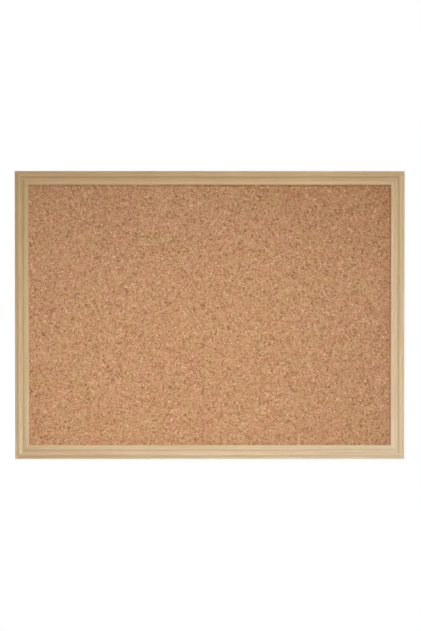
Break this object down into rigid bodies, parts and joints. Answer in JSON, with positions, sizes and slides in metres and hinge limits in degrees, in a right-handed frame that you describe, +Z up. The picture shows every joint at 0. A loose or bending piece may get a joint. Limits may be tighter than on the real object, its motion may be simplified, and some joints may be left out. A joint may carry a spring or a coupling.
{
  "type": "framed cork board",
  "caption": "Wall-hung pin board: a flat cork face on a fibreboard panel, held in a mitred timber frame with swinging ring hangers and rubber bumpers on its back.",
  "frame": {"origin": "middle of the board's width and height, on the plane of the wall that the back bumpers touch", "axes": "+X to the board's right along its width, +Y into the wall, +Z up; the cork faces -Y"},
  "size_m": [0.5842, 0.019, 0.4318],
  "materials": {
    "frame_timber": "pale oak-coloured satin lacquer with fine grain along each rail",
    "cork": "matte pressed cork, fine reddish-tan granules with dark and pale flecks",
    "core": "matte soft fibreboard",
    "liner": "matte brown kraft paper",
    "zinc_steel": "bright zinc-plated steel",
    "bumper_rubber": "matte dark rubber"
  },
  "bodies": {
    "board": {"top_rail": "frame_timber", "bottom_rail": "frame_timber", "left_stile": "frame_timber", "right_stile": "frame_timber", "cork_sheet": "cork", "core_board": "core", "back_liner": "liner", "corner_nail_top_left_outer": "zinc_steel", "corner_nail_top_left_inner": "zinc_steel", "corner_nail_top_right_outer": "zinc_steel", "corner_nail_top_right_inner": "zinc_steel", "corner_nail_bottom_left_outer": "zinc_steel", "corner_nail_bottom_left_inner": "zinc_steel", "corner_nail_bottom_right_outer": "zinc_steel", "corner_nail_bottom_right_inner": "zinc_steel", "panel_point_top_left": "zinc_steel", "panel_point_top_middle": "zinc_steel", "panel_point_top_right": "zinc_steel", "panel_point_bottom_left": "zinc_steel", "panel_point_bottom_middle": "zinc_steel", "panel_point_bottom_right": "zinc_steel", "panel_point_left_upper": "zinc_steel", "panel_point_left_lower": "zinc_steel", "panel_point_right_upper": "zinc_steel", "panel_point_right_lower": "zinc_steel", "hanger_strap_left": "zinc_steel", "hanger_strap_right": "zinc_steel", "hanger_screw_left": "zinc_steel", "hanger_screw_right": "zinc_steel", "bumper_top_left": "bumper_rubber", "bumper_top_right": "bumper_rubber", "bumper_bottom_left": "bumper_rubber", "bumper_bottom_right": "bumper_rubber"},
    "left_ring": {"hanger_ring_left": "zinc_steel"},
    "right_ring": {"hanger_ring_right": "zinc_steel"}
  },
  "joints": [
    {"name": "left_ring_swing", "type": "hinge", "parent": "board", "child": "left_ring", "pos_m": [-0.2851, -0.00275, 0.1159], "axis": [1, 0, 0], "range_deg": [0, 174]},
    {"name": "right_ring_swing", "type": "hinge", "parent": "board", "child": "right_ring", "pos_m": [0.2851, -0.00275, 0.1159], "axis": [1, 0, 0], "range_deg": [0, 174]}
  ]
}
